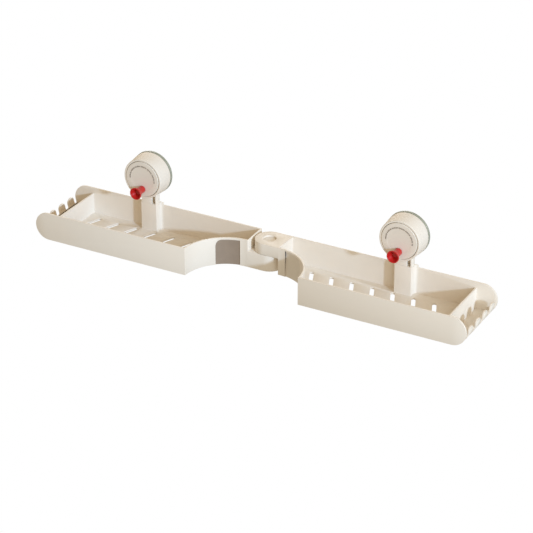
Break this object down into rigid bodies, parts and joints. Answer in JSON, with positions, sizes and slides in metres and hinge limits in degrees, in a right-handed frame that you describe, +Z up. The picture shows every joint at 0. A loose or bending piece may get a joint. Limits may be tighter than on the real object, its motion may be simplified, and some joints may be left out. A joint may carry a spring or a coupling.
{
  "type": "folding suction shelf",
  "caption": "Two open trough trays joined by a vertical hinge, each hung from a round suction head with a turning dial and a flared red grip peg.",
  "frame": {"origin": "centre of the footprint at the underside of the trays, shelf open in line", "axes": "+X along the open shelf to the right, +Y to the wall, +Z up"},
  "size_m": [0.62, 0.0978, 0.1128],
  "materials": {
    "tray_plastic": "satin moulded cream ABS",
    "head_plastic": "satin moulded cream ABS",
    "dial_plastic": "satin moulded cream ABS with small printed marks",
    "inner_plastic": "plain moulded plastic",
    "red_plastic": "glossy dark red",
    "pad": "translucent grey-green soft plastic",
    "steel": "plated steel"
  },
  "bodies": {
    "right_tray": {"right_tray": "tray_plastic", "hinge_pin": "tray_plastic", "hinge_washer": "steel", "hinge_nut": "steel"},
    "left_tray": {"left_tray": "tray_plastic"},
    "suction_head_right": {"head_housing_right": "head_plastic", "hanger_right": "head_plastic", "hanger_screw_right": "steel", "suction_pad_right": "pad", "backing_plate_right": "inner_plastic", "thrust_washer_right": "steel", "return_spring_right": "steel"},
    "dial_right": {"dial_cover_right": "dial_plastic", "cam_wheel_right": "inner_plastic", "dial_screw1_right": "steel", "dial_screw2_right": "steel", "dial_screw3_right": "steel", "grip_peg_right": "red_plastic", "peg_screw_right": "steel"},
    "stud_right": {"pull_stud_right": "steel", "cross_pin_right": "steel"},
    "suction_head_left": {"head_housing_left": "head_plastic", "hanger_left": "head_plastic", "hanger_screw_left": "steel", "suction_pad_left": "pad", "backing_plate_left": "inner_plastic", "thrust_washer_left": "steel", "return_spring_left": "steel"},
    "dial_left": {"dial_cover_left": "dial_plastic", "cam_wheel_left": "inner_plastic", "dial_screw1_left": "steel", "dial_screw2_left": "steel", "dial_screw3_left": "steel", "grip_peg_left": "red_plastic", "peg_screw_left": "steel"},
    "stud_left": {"pull_stud_left": "steel", "cross_pin_left": "steel"}
  },
  "joints": [
    {"name": "tray_fold", "type": "hinge", "parent": "right_tray", "child": "left_tray", "pos_m": [0, 0.0288, 0], "axis": [0, 0, 1], "range_deg": [0, 90]},
    {"name": "head_lift_right", "type": "slide", "parent": "right_tray", "child": "suction_head_right", "axis": [0, 0, 1], "range_m": [0, 0.03]},
    {"name": "dial_turn_right", "type": "hinge", "parent": "suction_head_right", "child": "dial_right", "pos_m": [0.186, 0.03, 0.0834], "axis": [0, 1, 0], "range_deg": [0, 90]},
    {"name": "stud_pull_right", "type": "slide", "parent": "suction_head_right", "child": "stud_right", "axis": [0, -1, 0], "range_m": [0, 0.002], "deforming": ["return_spring_right"]},
    {"name": "head_lift_left", "type": "slide", "parent": "left_tray", "child": "suction_head_left", "axis": [0, 0, 1], "range_m": [0, 0.03]},
    {"name": "dial_turn_left", "type": "hinge", "parent": "suction_head_left", "child": "dial_left", "pos_m": [-0.186, 0.03, 0.0834], "axis": [0, 1, 0], "range_deg": [0, 90]},
    {"name": "stud_pull_left", "type": "slide", "parent": "suction_head_left", "child": "stud_left", "axis": [0, -1, 0], "range_m": [0, 0.002], "deforming": ["return_spring_left"]}
  ],
  "couplings": [
    {"joint": "stud_pull_right", "follows": "dial_turn_right", "m_per_rad": 0.0012732},
    {"joint": "stud_pull_left", "follows": "dial_turn_left", "m_per_rad": 0.0012732}
  ]
}
